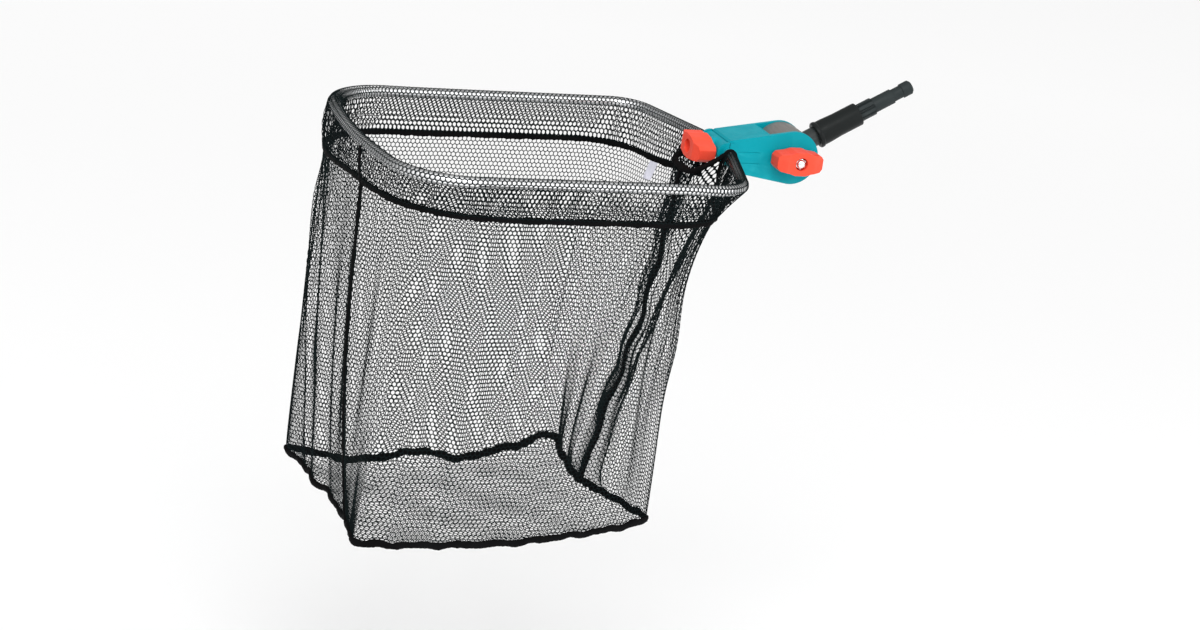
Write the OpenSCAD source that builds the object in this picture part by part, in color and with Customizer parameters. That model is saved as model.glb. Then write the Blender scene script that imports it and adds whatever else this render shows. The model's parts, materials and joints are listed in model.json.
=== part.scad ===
// Leaf skimmer net with a tilting plug-in handle joint.
// Origin: middle of the plug's shank, on its axis. +X runs from the net towards
// the handle, and +Z is up out of the net's mouth. Lengths in millimetres.
// The modules draw their parts around the centre of the frame clamp, with the
// mouth in the plane z = 0, and from_plug() moves them to the origin.

/* [Net frame] */
// Distance from the clamp axis to the ends of the far side
frame_len = 380; // [340:5:420]
// Width of the frame between tube centre-lines
frame_w = 323; // [300:1:350]
// How far the far side bows out at its middle
far_bow = 6; // [3:1:12]
// Centre-line radius of the two far corners
far_corner_r = 73; // [55:1:90]
// Centre-line radius of the two near corners
near_corner_r = 38; // [30:1:42]
// How far the near corners sit behind the clamp axis
nose_depth = 35; // [28:1:42]
// Outside diameter of the frame tube
tube_d = 10; // [9:0.5:11]
// Wall thickness of the frame tube
tube_wall = 1; // [0.8:0.1:1.2]

/* [Net bag] */
// Depth of the bag below the frame
bag_depth = 365; // [300:5:420]
// Height of the doubled hem band below the tube centre
band_drop = 36; // [30:1:42]
// Length of the bag's bottom panel
bottom_len = 312; // [280:2:330]
// Width of the bag's bottom panel
bottom_w = 256; // [220:2:290]
// Thickness of the netting as a solid sheet
net_t = 0.8; // [0.6:0.1:1.2]
// Thickness of the sewn seam tapes
seam_t = 3; // [2.4:0.2:3.6]

/* [Bracket] */
// Distance from the clamp axis to the tilt pivot
pivot_x = 74; // [70:1:80]
// Height of the tilt pivot above the clamp axis
pivot_z = -3; // [-4:0.5:-2]
// Radius of the rounded fork ends
fork_r = 27.5; // [26:0.5:29]
// Width of the fork over both cheeks
fork_w = 46; // [44:1:50]
// Thickness of each cheek
cheek_t = 4; // [3.5:0.5:5]
// Outside radius of the clamp barrel
barrel_r = 10.5; // [10:0.5:11.5]
// Length of the clamp barrel
barrel_len = 54; // [50:1:56]

/* [Knobs] */
// Length of a wing knob from tip to tip
knob_len = 50; // [46:1:52]
// Width of a wing knob across its hub
knob_hub_w = 24; // [22:1:28]
// Thickness of a wing knob along its screw
knob_t = 22; // [18:0.5:24]

/* [Handle plug] */
// Tilt of the handle above the net's mouth
handle_tilt = 30; // [0:1:60]
// Outside diameter of the sleeve at its outer end
sleeve_d = 24.5; // [24:0.5:26]
// Diameter of the plug's shank
shank_d = 15.7; // [15:0.1:16.5]
// Distance from the pivot to the outer end of the sleeve
sleeve_end = 88; // [84:1:92]

/* [Hidden] */

$fn = 64;
eps = 0.01;
big = 400;

// Colours
teal = [0.00, 0.62, 0.69];
red = [0.93, 0.30, 0.22];
steel = [0.75, 0.76, 0.78];
brass = [0.80, 0.65, 0.35];
plug_grey = [0.16, 0.18, 0.18];
alu = [0.80, 0.81, 0.83];
net_black = [0.05, 0.05, 0.06];

// Clearances
run_gap = 0.05;   // radial gap of a shaft that turns in its hole
side_gap = 0.3;   // gap beside parts that turn or slide past each other
soft_gap = 0.2;   // gap between sewn parts
lap = 1;          // length by which the runs of the frame lap into its bends
lap_swell = 0.08; // extra thickness of the bends, so that laps stay inside them

// Frame outline, for the half with y > 0. It is followed clockwise as seen
// from above: far bow, far corner, long side, near corner, nose, clamp bend.
half_w = frame_w / 2;
nose_half = 34;                        // half width of the nose's flat front
clamp_bend_r = 50;
far_flat = half_w - far_corner_r;
far_r = (far_flat * far_flat + far_bow * far_bow) / (2 * far_bow);
far_cx = far_r - frame_len - far_bow;
corner_reach = sqrt(pow(far_r - far_corner_r, 2) - far_flat * far_flat);
corner_cx = far_cx - corner_reach;
far_half_angle = atan2(far_flat, corner_reach);
nose_angle = atan2(nose_depth, half_w - nose_half);
near_cut = near_corner_r * tan((90 - nose_angle) / 2);
near_cx = -nose_depth - near_cut;
clamp_cut = clamp_bend_r * tan(nose_angle / 2);
nose_full = norm([nose_depth, half_w - nose_half]);
nose_len = nose_full - near_cut - clamp_cut;
nose_start = [-nose_depth + near_cut * sin(nose_angle), half_w - near_cut * cos(nose_angle), 0];
clamp_y = nose_half - clamp_cut;

// Tube ends and hem
tube_r = tube_d / 2;
tube_bore_r = tube_r - tube_wall;
tube_end_y = 6;                        // the two tube ends stop short of the clamp bolt
notch_half = 30;                       // half width of the gap in the hem at the clamp
hem_stop = asin((notch_half - clamp_y) / clamp_bend_r);
hem_outer_r = tube_r + 1.2;
hem_top_gap = 0.3;
hem_t = 1.4;
seam_top = -band_drop + seam_t;
wall_top = -band_drop - soft_gap;
wall_end = -bag_depth + seam_t + soft_gap;
bottom_cx = -frame_len / 2 - 42;
bottom_corner_r = 18;
seam_half = 2;                         // half width of the upright side seams
notch_depth = 46;                      // the netting under the clamp starts this low

// Bracket
inner_half = fork_w / 2 - cheek_t;
split_gap = 0.6;                       // gap between the clamp jaw and the fork
split_x = 1;
body_x0 = 3;                           // front of the fork body
body_h0 = 16;                          // half height of the fork body at its front
body_run = pivot_x - body_x0;
fork_slope = asin(fork_r / norm([body_run, body_h0])) - atan2(body_h0, body_run);
tangent_x = pivot_x - fork_r * sin(fork_slope);
tangent_h = fork_r * cos(fork_slope);
pocket_x0 = 15;
pocket_x1 = 41;
groove_x1 = 37;
slot_r = fork_r + 1;
slot_mouth_x = 52;
lip_run = 7;                           // length of the sloped lip at the slot's root
lip_top = 20;
lip_low = 16.6;
lip_clear = 25;                        // above the body everywhere along the lip
collar_w = 4;
collar_r = barrel_r + 1;

// Screws
bolt_r = 3;                            // M6
bolt_hole_r = bolt_r + 0.2;
hex_r = 5.77;                          // 10 mm across flats
hex_h = 4;
washer_t = 1.6;
washer_r = 9;
knob_hole_r = 6.8;
knob_hole_h = 10;
knob_floor = 1;                        // plastic under the knob's insert
knob_nut_r = 4.9;
knob_nut_h = 6;
knob_rest = 7;                        // the clamp knob rests this many degrees off level
screw_setback = 2.5;                   // the tilt screw ends this far inside the knob's face
knob_base = side_gap + washer_t;       // the knob starts this far from its seat
jaw_seat = barrel_r + 0.1;
bolt_head_x = pocket_x0 - 0.5;

// Handle
drum_r = fork_r - 0.5;
neck_r = 10;
neck_end = 44;
sleeve_start = 37;
sleeve_root_r = 14;
core_r = 7;
rib_end = sleeve_end + 17;
shank_start = rib_end + 0.5;
shank_end = rib_end + 23;
groove_end = shank_end + 11;
tip_end = groove_end + 12;
rib_r = 9.2;
groove_r = 6.6;
tip_r = shank_d / 2 - 0.25;
shank_mid = (shank_start + shank_end) / 2;

// ---------- shared shapes ----------

// Straight run of a cross-section. The section's x points along the outward
// normal at normal_angle, and its y points up. It reaches lap past each end
// that meets a bend, and so ends inside the bend, which is thicker by $swell.
module run(from, normal_angle, length, lap_end = lap) {
    $swell = 0;
    translate(from) rotate([90, 0, normal_angle]) translate([0, 0, -lap])
        linear_extrude(length + lap + lap_end) children();
}

// Curved run of a cross-section about an upright axis
module bend(centre, radius, start, sweep) {
    $swell = lap_swell;
    translate(centre) rotate([0, 0, start]) rotate_extrude(angle = sweep) translate([radius, 0]) children();
}

// The bowed far side, which laps into both far corners
module far_bow_run() {
    $swell = 0;
    reach = far_half_angle + atan2(lap, far_r);
    translate([far_cx, 0, 0]) rotate([0, 0, 180 - reach])
        rotate_extrude(angle = 2 * reach, $fn = 720) translate([far_r, 0]) children();
}

// The frame outline, from the far side up to the clamp's bends
module rim() {
    far_bow_run() children();
    both_sides() {
        bend([corner_cx, far_flat, 0], far_corner_r, 90, 90 - far_half_angle) children();
        run([corner_cx, half_w, 0], 90, near_cx - corner_cx) children();
        bend([near_cx, half_w - near_corner_r, 0], near_corner_r, nose_angle, 90 - nose_angle) children();
        run(nose_start, nose_angle, nose_len) children();
    }
}

// The bends beside the clamp, from the nose down to the angle stop
module clamp_bends(stop) both_sides()
    bend([-clamp_bend_r, clamp_y, 0], clamp_bend_r, stop, nose_angle - stop) children();

module both_sides() {
    children();
    mirror([0, 1, 0]) children();
}

// Cylinder along +Y from y0 to y1
module y_rod(r, y0, y1) {
    translate([0, y0, 0]) rotate([-90, 0, 0]) cylinder(r = r, h = y1 - y0);
}

// Cylinder along +X from x0 to x1
module x_rod(r, x0, x1) {
    translate([x0, 0, 0]) rotate([0, 90, 0]) cylinder(r = r, h = x1 - x0);
}

// Hexagon along +X from x0 to x1
module x_hex(r, x0, x1) {
    translate([x0, 0, 0]) rotate([0, 90, 0]) cylinder(r = r, h = x1 - x0, $fn = 6);
}

module at_pivot() {
    translate([pivot_x, 0, pivot_z]) children();
}

// Puts a part drawn along +X onto the tilted handle
module on_handle() {
    at_pivot() rotate([0, -handle_tilt, 0]) children();
}

// Moves the whole model so that the middle of the plug's shank is the origin
module from_plug() {
    reach = shank_mid * [cos(handle_tilt), 0, sin(handle_tilt)];
    translate(-[pivot_x, 0, pivot_z] - reach) children();
}

// Puts a part drawn along +X, from its seat outwards, onto the front cheek
module on_front_cheek() {
    at_pivot() translate([0, -fork_w / 2, 0]) rotate([0, 0, -90]) children();
}

// Puts a part drawn along +X, from its seat outwards, onto the clamp jaw
module on_jaw() {
    translate([-jaw_seat, 0, 0]) rotate([0, 0, 180]) children();
}

// ---------- knobs, washers and screws ----------

// Face outline of a wing knob: a bar that swells into a round hub
module knob_outline() {
    tip_half = 8;
    tip_cut = 3;
    swell = 12;                        // where the wings meet the hub
    polygon([
        [-knob_len / 2, -tip_half + tip_cut], [-knob_len / 2 + tip_cut, -tip_half - 0.5],
        [-swell, -knob_hub_w / 2 + 2], [-swell / 2, -knob_hub_w / 2], [swell / 2, -knob_hub_w / 2],
        [swell, -knob_hub_w / 2 + 2], [knob_len / 2 - tip_cut, -tip_half - 0.5],
        [knob_len / 2, -tip_half + tip_cut], [knob_len / 2, tip_half - tip_cut],
        [knob_len / 2 - tip_cut, tip_half + 0.5], [swell, knob_hub_w / 2 - 2],
        [swell / 2, knob_hub_w / 2], [-swell / 2, knob_hub_w / 2], [-swell, knob_hub_w / 2 - 2],
        [-knob_len / 2 + tip_cut, tip_half + 0.5], [-knob_len / 2, tip_half - tip_cut]
    ]);
}

// Side outline of a wing knob: the wing tips are thinner than the hub
module knob_side() {
    tip_t = knob_t - 4;
    flat_half = 15;
    polygon([[0, -knob_len / 2], [tip_t, -knob_len / 2], [knob_t, -flat_half],
             [knob_t, flat_half], [tip_t, knob_len / 2], [0, knob_len / 2]]);
}

// Wing knob whose screw axis is +X, with its wings along Y
module wing_knob() {
    translate([knob_base, 0, 0]) difference() {
        intersection() {
            rotate([90, 0, 90]) linear_extrude(knob_t) knob_outline();
            translate([0, 0, -knob_hub_w]) linear_extrude(2 * knob_hub_w) knob_side();
        }
        x_rod(knob_hole_r, knob_t - knob_hole_h, knob_t + 1);
        x_rod(knob_nut_r, knob_floor, knob_floor + knob_nut_h);
        x_rod(bolt_hole_r, -1, knob_t);
    }
}

// Threaded insert moulded into a knob
module knob_nut() {
    translate([knob_base + knob_floor, 0, 0]) difference() {
        x_rod(knob_nut_r - 0.02, 0.05, knob_nut_h - 0.05);
        x_rod(bolt_r + run_gap, -1, knob_nut_h + 1);
    }
}

module flat_washer() {
    difference() {
        x_rod(washer_r, 0, washer_t);
        x_rod(bolt_hole_r, -1, washer_t + 1);
    }
}

module clamp_knob() color(red) on_jaw() rotate([-knob_rest, 0, 0]) wing_knob();
module clamp_knob_nut() color(brass) on_jaw() knob_nut();
module clamp_washer() color(steel) on_jaw() flat_washer();
module pivot_knob() color(red) on_front_cheek() wing_knob();
module pivot_knob_nut() color(brass) on_front_cheek() knob_nut();
module pivot_washer() color(steel) on_front_cheek() flat_washer();

// Screw that pulls the jaw onto the frame tube; its head sits in the fork's pocket
module clamp_bolt() color(steel) {
    thread_end = -jaw_seat - knob_base - knob_nut_h - 2;
    x_rod(bolt_r, thread_end, bolt_head_x + eps);
    x_hex(hex_r, bolt_head_x, bolt_head_x + hex_h);
}

// Screw through both cheeks and the drum
module pivot_bolt() color(steel) at_pivot() {
    head_y = fork_w / 2 + run_gap;
    thread_end = -fork_w / 2 - knob_base - knob_t + screw_setback;
    y_rod(bolt_r, thread_end, head_y + eps);
    translate([0, head_y, 0]) rotate([-90, 0, 0]) cylinder(r = hex_r, h = hex_h, $fn = 6);
}

// Domed nut that keeps the tilt knob on its screw
module pivot_cap_nut() color(steel) on_front_cheek() {
    nut_start = knob_base + knob_t - knob_hole_h + 2 * washer_t;
    screw_end = knob_base + knob_t - screw_setback;
    dome_r = 4.6;
    dome_h = 4.5;
    difference() {
        union() {
            x_hex(hex_r, nut_start, nut_start + hex_h);
            translate([nut_start + hex_h - 1, 0, 0]) rotate([0, 90, 0]) rotate_extrude() polygon([
                [0, 0], [dome_r, 0], [dome_r, dome_h * 0.4], [dome_r * 0.83, dome_h * 0.71],
                [dome_r * 0.52, dome_h * 0.91], [0, dome_h]
            ]);
        }
        x_rod(bolt_r + 0.02, nut_start - 1, screw_end + run_gap);
    }
}

// ---------- bracket ----------

// Side view of the fork body
module fork_side() {
    chin = 8;                          // the lower front corner is cut back by this much
    polygon([
        [split_x, pivot_z + body_h0 - 2], [body_x0, pivot_z + body_h0],
        [tangent_x, pivot_z + tangent_h], [tangent_x, pivot_z - tangent_h],
        [body_x0 + chin, pivot_z - body_h0 - chin * tan(fork_slope)],
        [split_x, -barrel_r + 1]
    ]);
    translate([pivot_x, pivot_z]) circle(r = fork_r);
}

// Barrel with a collar at each end
module barrel() {
    y_rod(barrel_r, -barrel_len / 2, barrel_len / 2);
    both_sides() y_rod(collar_r, barrel_len / 2 - collar_w, barrel_len / 2);
}

// Shallow finger groove in the outside of a cheek, at height z
module cheek_groove(x0, x1, z) {
    depth = 0.6;
    half_h = 1;
    translate([0, -fork_w / 2, z]) rotate([90, 0, 90]) translate([0, 0, x0]) linear_extrude(x1 - x0)
        polygon([[-1, half_h + 1], [depth, 0], [-1, -half_h - 1]]);
}

module fork_bracket() color(teal) difference() {
    union() {
        translate([0, fork_w / 2, 0]) rotate([90, 0, 0]) linear_extrude(fork_w) fork_side();
        intersection() {
            barrel();
            translate([split_x, -big / 2, -big / 2]) cube(big);
        }
    }
    // clamp bore and screw
    y_rod(tube_r + run_gap, -big / 2, big / 2);
    x_rod(bolt_hole_r, -big / 2, pocket_x0 + 1);
    x_hex(hex_r + 0.15, bolt_head_x - 0.05, pocket_x0 + 1);
    // pocket under the body
    translate([pocket_x0, -inner_half, -big]) cube([pocket_x1 - pocket_x0, 2 * inner_half, big + 8]);
    // slot for the drum, with a sloped lip at its root
    at_pivot() y_rod(slot_r, -inner_half, inner_half);
    translate([slot_mouth_x, -inner_half, -big / 2]) cube([big, 2 * inner_half, big]);
    translate([0, inner_half, 0]) rotate([90, 0, 0]) linear_extrude(2 * inner_half)
        polygon([
            [slot_mouth_x - lip_run, lip_clear], [slot_mouth_x - lip_run, lip_top],
            [slot_mouth_x + 1, lip_low], [slot_mouth_x + 1, lip_clear]
        ]);
    // pivot holes
    at_pivot() y_rod(bolt_r + run_gap, -big / 2, big / 2);
    both_sides() {
        cheek_groove(body_x0 + 8, groove_x1, 1);
        cheek_groove(body_x0 + 13, groove_x1, -10.5);
    }
}

module clamp_jaw() color(teal) difference() {
    intersection() {
        union() {
            barrel();
            x_rod(washer_r + 1.5, -jaw_seat, 0);
        }
        translate([split_x - split_gap - big, -big / 2, -big / 2]) cube(big);
    }
    y_rod(tube_r + run_gap, -big / 2, big / 2);
    x_rod(bolt_hole_r, -big / 2, big / 2);
}

// ---------- handle ----------

// Drum that turns between the cheeks, with the neck that carries the sleeve
module hinge_head() color(plug_grey) difference() {
    drum_half = inner_half - side_gap;
    union() {
        at_pivot() y_rod(drum_r, -drum_half, drum_half);
        on_handle() x_rod(neck_r, 0, neck_end);
    }
    at_pivot() y_rod(bolt_r + run_gap, -big / 2, big / 2);
    on_handle() x_rod(core_r - 1, drum_r, neck_end + 1);
}

// Flared sleeve around the neck and the root of the plug
module socket_sleeve() color(plug_grey) on_handle() rotate([0, 90, 0]) {
    fit = 0.02;                        // gap of the sleeve around what it holds
    edge = 1;                          // size of the cut edges
    ring_end = sleeve_start + 5;       // a raised ring, then a flare that runs out over 20 mm
    flare = 0.8;
    step = neck_end + 0.1;
    end_r = sleeve_d / 2;
    rotate_extrude() polygon([
        [neck_r + fit, sleeve_start], [sleeve_root_r - edge, sleeve_start],
        [sleeve_root_r, sleeve_start + edge], [sleeve_root_r, ring_end - edge],
        [sleeve_root_r - edge, ring_end], [end_r + flare, ring_end + 6], [end_r, ring_end + 20],
        [end_r, sleeve_end - edge], [end_r - edge, sleeve_end],
        [core_r + fit, sleeve_end], [core_r + fit, step], [neck_r + fit, step]
    ]);
}

// Ribs at the plug's root that key it against turning in the pole
module plug_ribs() {
    rib_count = 8;
    rib_w = 3.6;
    rib_start = sleeve_end + 0.4;
    for (i = [0 : rib_count - 1])
        rotate([i * 360 / rib_count, 0, 0]) translate([rib_start, -rib_w / 2, 0])
            cube([rib_end - rib_start, rib_w, rib_r]);
}

// Plug that snaps into a pole: ribbed root, shank with two flats, groove and tip
module plug_core() color(plug_grey) on_handle() {
    flat_half = 2.2;
    flat_y = sqrt(pow(shank_d / 2, 2) - flat_half * flat_half);
    spigot_r = core_r - 1.02;
    shank_r = shank_d / 2;
    difference() {
        rotate([0, 90, 0]) rotate_extrude() polygon([
            [0, drum_r + 1], [spigot_r, drum_r + 1], [spigot_r, neck_end + 0.15],
            [core_r, neck_end + 0.15], [core_r, shank_start], [shank_r, shank_start],
            [shank_r, shank_end], [groove_r, shank_end], [groove_r, groove_end],
            [tip_r - 0.8, groove_end], [tip_r, groove_end + 0.8], [tip_r, tip_end - 2],
            [tip_r - 2, tip_end], [0, tip_end]
        ]);
        both_sides() translate([shank_start + 1, flat_y, -big / 2]) cube([shank_end - shank_start, big, big]);
    }
    plug_ribs();
}

// ---------- frame and net ----------

// One bent tube whose two ends meet inside the clamp
module frame_tube() color(alu) difference() {
    tube_form(tube_r, tube_end_y);
    tube_form(tube_bore_r, tube_end_y - 1);
}

// Solid rod along the whole frame outline
module tube_form(r, end_y) {
    rim() circle(r = r + $swell, $fn = 32);
    clamp_bends(0) circle(r = r + $swell, $fn = 32);
    both_sides() run([0, clamp_y, 0], 0, clamp_y - end_y, 0) circle(r = r, $fn = 32);
}

// Plugs that keep the clamp from crushing the tube ends
module tube_end_plugs() color(net_black) both_sides() {
    y_rod(tube_bore_r - 0.05, tube_end_y - 1, clamp_y - 2);
    y_rod(tube_r - 0.3, tube_end_y - 1.5, tube_end_y - 0.05);
}

// Doubled netting that wraps the tube and hangs down to the band seam
module hem_band() color(net_black) hem_sweep() difference() {
    union() {
        circle(r = hem_outer_r + $swell, $fn = 32);
        rim_strip(hem_t, seam_top + soft_gap, -tube_r - hem_top_gap);
    }
    circle(r = tube_r + hem_top_gap - $swell, $fn = 32);
}

// The outline that the hem follows, from one side of the clamp to the other
module hem_sweep() {
    rim() children();
    clamp_bends(hem_stop) children();
}

// Upright strip under the tube, as a cross-section of the rim
module rim_strip(thickness, bottom, top)
    translate([-thickness / 2 - $swell, bottom - $swell])
        square([thickness + 2 * $swell, top - bottom + 2 * $swell]);

module band_seam() color(net_black) hem_sweep() rim_strip(seam_t, -band_drop, seam_top);

// Outline of the bag's mouth, moved outwards by grow, as a thin slice
module mouth_slice(grow) {
    clamp_post_r = 5;
    bow_post_r = 5;
    bow_post_y = 15;
    both_sides() {
        translate([corner_cx, far_flat, 0]) cylinder(r = far_corner_r + grow, h = eps, $fn = 48);
        translate([near_cx, half_w - near_corner_r, 0]) cylinder(r = near_corner_r + grow, h = eps, $fn = 48);
        translate([-clamp_post_r, notch_half, 0]) cylinder(r = clamp_post_r + grow, h = eps, $fn = 16);
        translate([-frame_len - far_bow + bow_post_r, bow_post_y, 0])
            cylinder(r = bow_post_r + grow, h = eps, $fn = 16);
    }
}

// Outline of the bag's bottom, moved outwards by grow, as a thin slice
module bottom_slice(grow, h = eps) {
    dx = bottom_len / 2 - bottom_corner_r;
    dy = bottom_w / 2 - bottom_corner_r;
    translate([bottom_cx, 0, 0]) for (x = [-dx, dx], y = [-dy, dy])
        translate([x, y, 0]) cylinder(r = bottom_corner_r + grow, h = h, $fn = 32);
}

// Solid of the bag between its mouth and its bottom
module bag_form(grow) hull() {
    translate([0, 0, wall_top]) mouth_slice(grow);
    translate([0, 0, wall_end]) bottom_slice(grow);
}

// Half of the bag's wall: a sheet from one upright seam to the other
module wall_half() difference() {
    bag_form(net_t / 2);
    bag_form(-net_t / 2);
    // the other half, the notch under the clamp, and the slices' caps above and below
    cap = 0.1;
    translate([-2 * big, -2 * big + seam_half + soft_gap, -2 * big]) cube([4 * big, 2 * big, 4 * big]);
    translate([-2 * notch_half, -notch_half, -notch_depth - seam_t])
        cube([4 * notch_half, 2 * notch_half, big]);
    translate([-2 * big, -big, wall_top - cap]) cube([4 * big, 2 * big, big]);
    translate([-2 * big, -big, wall_end - big + cap]) cube([4 * big, 2 * big, big]);
}

module net_back_panel() color(net_black) wall_half();
module net_front_panel() color(net_black) mirror([0, 1, 0]) wall_half();

module net_bottom() color(net_black) translate([0, 0, -bag_depth + seam_t / 2])
    hull() bottom_slice(-seam_t / 2 - soft_gap, net_t);

// Tape sewn around the bottom panel
module bottom_seam() color(net_black) translate([0, 0, -bag_depth]) difference() {
    hull() bottom_slice(seam_t / 2, seam_t);
    translate([0, 0, -1]) hull() bottom_slice(-seam_t / 2, seam_t + 2);
}

// Tape down the bag's wall at y = 0, from x0, z0 to x1 at the bottom seam
module upright_seam(x0, z0, x1) {
    z1 = -bag_depth + seam_t + soft_gap;
    translate([0, seam_half, 0]) rotate([90, 0, 0]) linear_extrude(2 * seam_half) polygon([
        [x0 - seam_t / 2, z0], [x0 + seam_t / 2, z0], [x1 + seam_t / 2, z1], [x1 - seam_t / 2, z1]
    ]);
}

module far_side_seam() color(net_black)
    upright_seam(-frame_len - far_bow, -band_drop - soft_gap, bottom_cx - bottom_len / 2);

module near_side_seam() color(net_black)
    upright_seam(-1, -notch_depth - seam_t - soft_gap, bottom_cx + bottom_len / 2);

// Tape around the gap in the hem, where the netting passes under the clamp
module notch_binding() color(net_black) {
    leg_y = notch_half - soft_gap - seam_t;
    leg_top = collar_r + 3.5;          // clears the jaw when the frame swings
    both_sides() translate([-seam_t, leg_y - 1, -notch_depth]) cube([seam_t, seam_t, notch_depth - leg_top]);
    translate([-seam_t, -leg_y, -notch_depth - seam_t + soft_gap]) cube([seam_t, 2 * leg_y, seam_t]);
}

// Small blank label sewn to the inside of the nose wall
module care_label() color("white") {
    label_w = 13;
    label_h = 24;
    label_y = 99;
    inset = 6;
    x = -(label_y - nose_half) * tan(nose_angle) - inset;
    translate([x, label_y, -band_drop - label_h - 4]) rotate([0, 0, nose_angle])
        translate([-0.25, -label_w / 2, 0]) cube([0.5, label_w, label_h]);
}

from_plug() fork_bracket();
from_plug() clamp_jaw();
from_plug() clamp_washer();
from_plug() clamp_knob();
from_plug() clamp_knob_nut();
from_plug() clamp_bolt();
from_plug() pivot_bolt();
from_plug() pivot_washer();
from_plug() pivot_knob();
from_plug() pivot_knob_nut();
from_plug() pivot_cap_nut();
from_plug() hinge_head();
from_plug() socket_sleeve();
from_plug() plug_core();
from_plug() frame_tube();
from_plug() tube_end_plugs();
from_plug() hem_band();
from_plug() net_front_panel();
from_plug() net_back_panel();
from_plug() net_bottom();
from_plug() band_seam();
from_plug() far_side_seam();
from_plug() near_side_seam();
from_plug() bottom_seam();
from_plug() notch_binding();
from_plug() care_label();
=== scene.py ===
import json
import math

import bpy
import numpy as np
from mathutils import Matrix, Vector


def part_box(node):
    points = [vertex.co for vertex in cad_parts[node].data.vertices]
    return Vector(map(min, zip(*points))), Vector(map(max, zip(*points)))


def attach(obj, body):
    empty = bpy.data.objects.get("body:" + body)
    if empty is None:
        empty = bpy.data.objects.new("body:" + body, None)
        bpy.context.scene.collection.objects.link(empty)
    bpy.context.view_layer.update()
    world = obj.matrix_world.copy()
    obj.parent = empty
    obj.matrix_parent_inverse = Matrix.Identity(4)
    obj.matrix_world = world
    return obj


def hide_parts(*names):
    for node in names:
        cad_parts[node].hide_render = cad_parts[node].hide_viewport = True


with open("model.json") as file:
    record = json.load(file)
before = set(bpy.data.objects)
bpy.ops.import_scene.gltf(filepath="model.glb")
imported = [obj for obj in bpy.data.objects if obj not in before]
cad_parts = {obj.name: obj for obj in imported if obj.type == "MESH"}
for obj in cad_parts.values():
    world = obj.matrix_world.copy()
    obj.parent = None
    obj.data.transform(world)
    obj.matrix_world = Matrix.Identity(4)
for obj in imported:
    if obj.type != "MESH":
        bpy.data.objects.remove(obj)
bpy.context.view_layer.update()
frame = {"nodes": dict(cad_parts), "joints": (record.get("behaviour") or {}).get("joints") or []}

# Leaf skimmer net: knitted bag on a bent aluminium frame, with a tilting plug-in handle joint.
# Shapes are worked out in millimetres around the centre of the frame clamp, where the frame
# swings, and become metres in make_mesh().

MM = 0.001
NODES = frame["nodes"]
NET_BODY = "net_frame"
JOINTS = {joint["name"]: joint for joint in frame["joints"]}
CLAMP = np.array(JOINTS["frame_swing"]["pos_m"]) / MM


def node_box(name):
    """Lowest and highest corner of a CAD node around the clamp, in millimetres."""
    low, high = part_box(name)
    return np.array(low) / MM - CLAMP, np.array(high) / MM - CLAMP


# ---------- sizes ----------

# Frame outline, as in the CAD model
tube_low, tube_high = node_box("frame_tube")
tube_r = 5.0
half_w = tube_high[1] - tube_r
far_bow = 6.0
frame_len = -tube_low[0] - tube_r - far_bow
far_corner_r = 73.0
near_corner_r = 38.0
nose_depth = 35.0
nose_half = 34.0
clamp_bend_r = 50.0

# Netting
pitch = 4.8                 # between neighbouring holes along a row
row_pitch = pitch * math.sqrt(3) / 2
thread_w = 0.95
thread_t = 0.65
gather = 0.9                # extra netting where it is fully bunched up
gap_gather = 0.8            # and on top of that in the hem's gap at the clamp
hem_gather = 0.12           # extra netting all round the hem
wall_height = 332.0         # of the netting between band seam and bottom seam
bag_floor = node_box("bottom_seam")[0][2]   # height of the bottom seam

# Hem
hem_r = tube_r + 0.9        # the hem's radius around the tube
hem_start = 31.0            # the hem stops this far from the clamp's middle
hem_width = 88.0            # of the netting that is doubled over the tube
tail_share = 0.385          # share of that width on each side of the tube
hem_gap = 2.8               # between the hem's two layers at the band seam

# Tapes
seam_w = 6.4
seam_t = 3.4
bottom_seam_w = 7.8
bottom_seam_t = 4.6
binding_w = 7.5             # of the tape along the netting's edge in the hem's gap
binding_t = 4.0
tape_sides = 12             # corners of a tape's section
tape_step = 1.6             # between neighbouring sections
tape_uneven = 0.13          # how much width and thickness vary, as a share
stitch_depth = 0.10
stitch_len = 4.8


# ---------- lines ----------

def distances(line):
    """Distance of each point of a polyline from its first point, along the line."""
    gaps = np.linalg.norm(np.diff(line, axis=0), axis=1)
    return np.concatenate([[0.0], np.cumsum(gaps)])


def read_at(places, grid, values):
    """The columns of values, known at the grid's places, read at other places."""
    return np.stack([np.interp(places, grid, column) for column in values.T], -1)


def resample(line, step):
    """The same polyline with points about step apart."""
    along = distances(line)
    return read_at(np.linspace(0.0, along[-1], int(along[-1] / step) + 1), along, line)


def unit_rows(vectors):
    """The vectors, one in each row, made one long."""
    return vectors / np.linalg.norm(vectors, axis=-1)[..., None]


def smoothstep(x):
    x = np.clip(x, 0, 1)
    return x * x * (3 - 2 * x)


def ripple(c, wave, size, phase=0.0):
    """Slow uneven waviness along the loop."""
    turn = c * (2 * math.pi / wave) + phase
    return size * 0.5 * (np.sin(turn) + 0.6 * np.sin(turn * 1.618 + 1.3))


# ---------- frame outline ----------

def arc(centre, radius, start, end, step=1.0):
    """Points along an arc in the plane of the mouth; angles in degrees."""
    count = max(2, int(radius * abs(math.radians(end - start)) / step))
    angle = np.radians(np.linspace(start, end, count + 1))
    return np.stack([centre[0] + radius * np.cos(angle), centre[1] + radius * np.sin(angle)], 1)


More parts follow.
